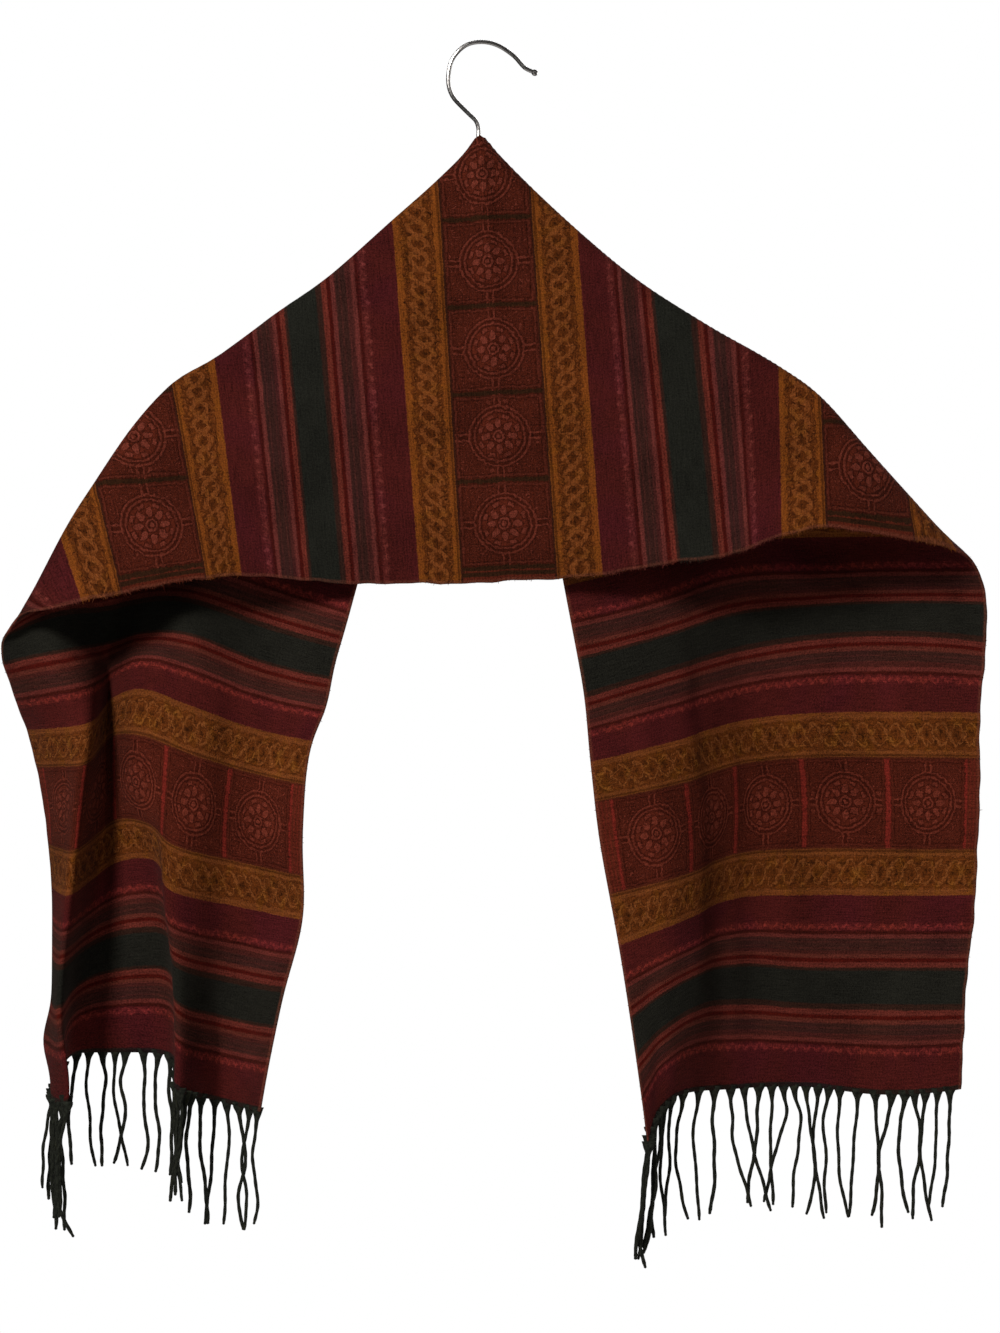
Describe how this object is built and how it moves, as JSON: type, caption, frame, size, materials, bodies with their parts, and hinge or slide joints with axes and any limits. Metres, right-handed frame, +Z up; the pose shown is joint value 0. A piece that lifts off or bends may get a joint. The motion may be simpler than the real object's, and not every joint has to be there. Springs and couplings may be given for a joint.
{
  "type": "striped scarf on a hanger",
  "caption": "Long woven striped scarf with fringed ends, draped over a slim clothes hanger with a wire hook, its ends hanging behind as tails.",
  "frame": {"origin": "inside top of the wire hook, where a rail carries the hanger", "axes": "+Z up along the hanging scarf, its longest extent; +X to the right as the near panel is faced; -Y towards the viewer, Y the shortest extent"},
  "size_m": [0.6499, 0.0926, 0.806],
  "materials": {
    "cloth_face": "soft napped wool weave, dark brown-red with gold, burgundy, green and red stripes",
    "cloth_reverse": "soft napped wool weave, reverse of the same stripes, a little redder",
    "fringe_yarn": "twisted dark green-black wool cords",
    "hook_steel": "polished steel wire",
    "hanger_wood": "plain dark satin wood, hidden by the cloth"
  },
  "bodies": {
    "root": {"hanger_hook": "hook_steel", "hanger_arms": "hanger_wood", "scarf_middle": "cloth_face", "scarf_left_end": "cloth_reverse", "scarf_right_end": "cloth_reverse", "fringe_left": "fringe_yarn", "fringe_right": "fringe_yarn"}
  },
  "joints": []
}
